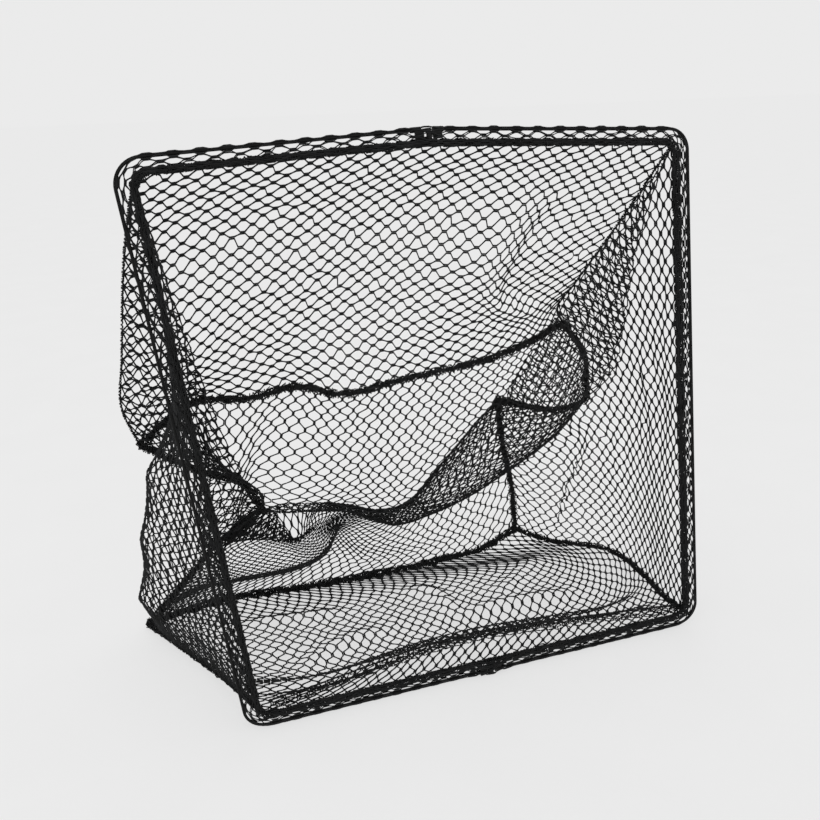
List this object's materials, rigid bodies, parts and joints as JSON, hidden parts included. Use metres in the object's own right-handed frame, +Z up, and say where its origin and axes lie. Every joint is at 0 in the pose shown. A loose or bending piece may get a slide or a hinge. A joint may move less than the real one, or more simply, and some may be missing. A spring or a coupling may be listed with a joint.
{
  "type": "folding crab trap",
  "caption": "Folding crab trap: an upright wire mouth frame hinged down its middle like a book, with a slack black net bag behind it that collapses as it shuts.",
  "frame": {"origin": "on the ground, on the floor net, halfway from the mouth to the back of the bag and straight behind the middle of the bottom bar", "axes": "+X to the right of the mouth, +Y into the bag, +Z up"},
  "size_m": [0.6496, 0.2691, 0.6053],
  "materials": {
    "wire": "satin black coating",
    "hinge": "satin black",
    "net": "matte knotless net",
    "seam": "matte gathered net and thread"
  },
  "bodies": {
    "right_half": {"right_frame_wire": "wire", "right_top_hinge_leaf": "hinge", "right_bottom_hinge_leaf": "hinge", "right_net_hem": "net", "right_hem_seam": "seam", "right_top_net": "net", "right_floor_net": "net", "right_side_net": "net", "right_top_side_seam": "seam", "right_floor_side_seam": "seam", "top_hinge_pin": "hinge", "bottom_hinge_pin": "hinge"},
    "left_half": {"left_frame_wire": "wire", "left_top_hinge_leaf": "hinge", "left_bottom_hinge_leaf": "hinge", "left_net_hem": "net", "left_hem_seam": "seam", "left_top_net": "net", "left_floor_net": "net", "left_side_net": "net", "left_top_side_seam": "seam", "left_floor_side_seam": "seam"},
    "right_bag_back": {"right_back_net": "net", "right_back_top_seam": "seam", "right_back_floor_seam": "seam", "right_back_side_seam": "seam"},
    "left_bag_back": {"left_back_net": "net", "left_back_top_seam": "seam", "left_back_floor_seam": "seam", "left_back_side_seam": "seam"}
  },
  "joints": [
    {"name": "frame_fold", "type": "hinge", "parent": "right_half", "child": "left_half", "pos_m": [0, -0.135, 0.003], "axis": [-0.1011, 0, 0.9949], "range_deg": [0, 178]},
    {"name": "right_bag_collapse", "type": "slide", "parent": "right_half", "child": "right_bag_back", "axis": [0.2425, -0.9701, 0], "range_m": [0, 0.24], "deforming": ["right_side_net"]},
    {"name": "left_bag_collapse", "type": "slide", "parent": "left_half", "child": "left_bag_back", "axis": [0.2425, -0.9701, 0], "range_m": [0, 0.24], "deforming": ["left_side_net"]}
  ],
  "couplings": [
    {"joint": "right_bag_collapse", "follows": "frame_fold", "m_per_rad": 0.0772},
    {"joint": "left_bag_collapse", "follows": "frame_fold", "m_per_rad": 0.0772}
  ]
}
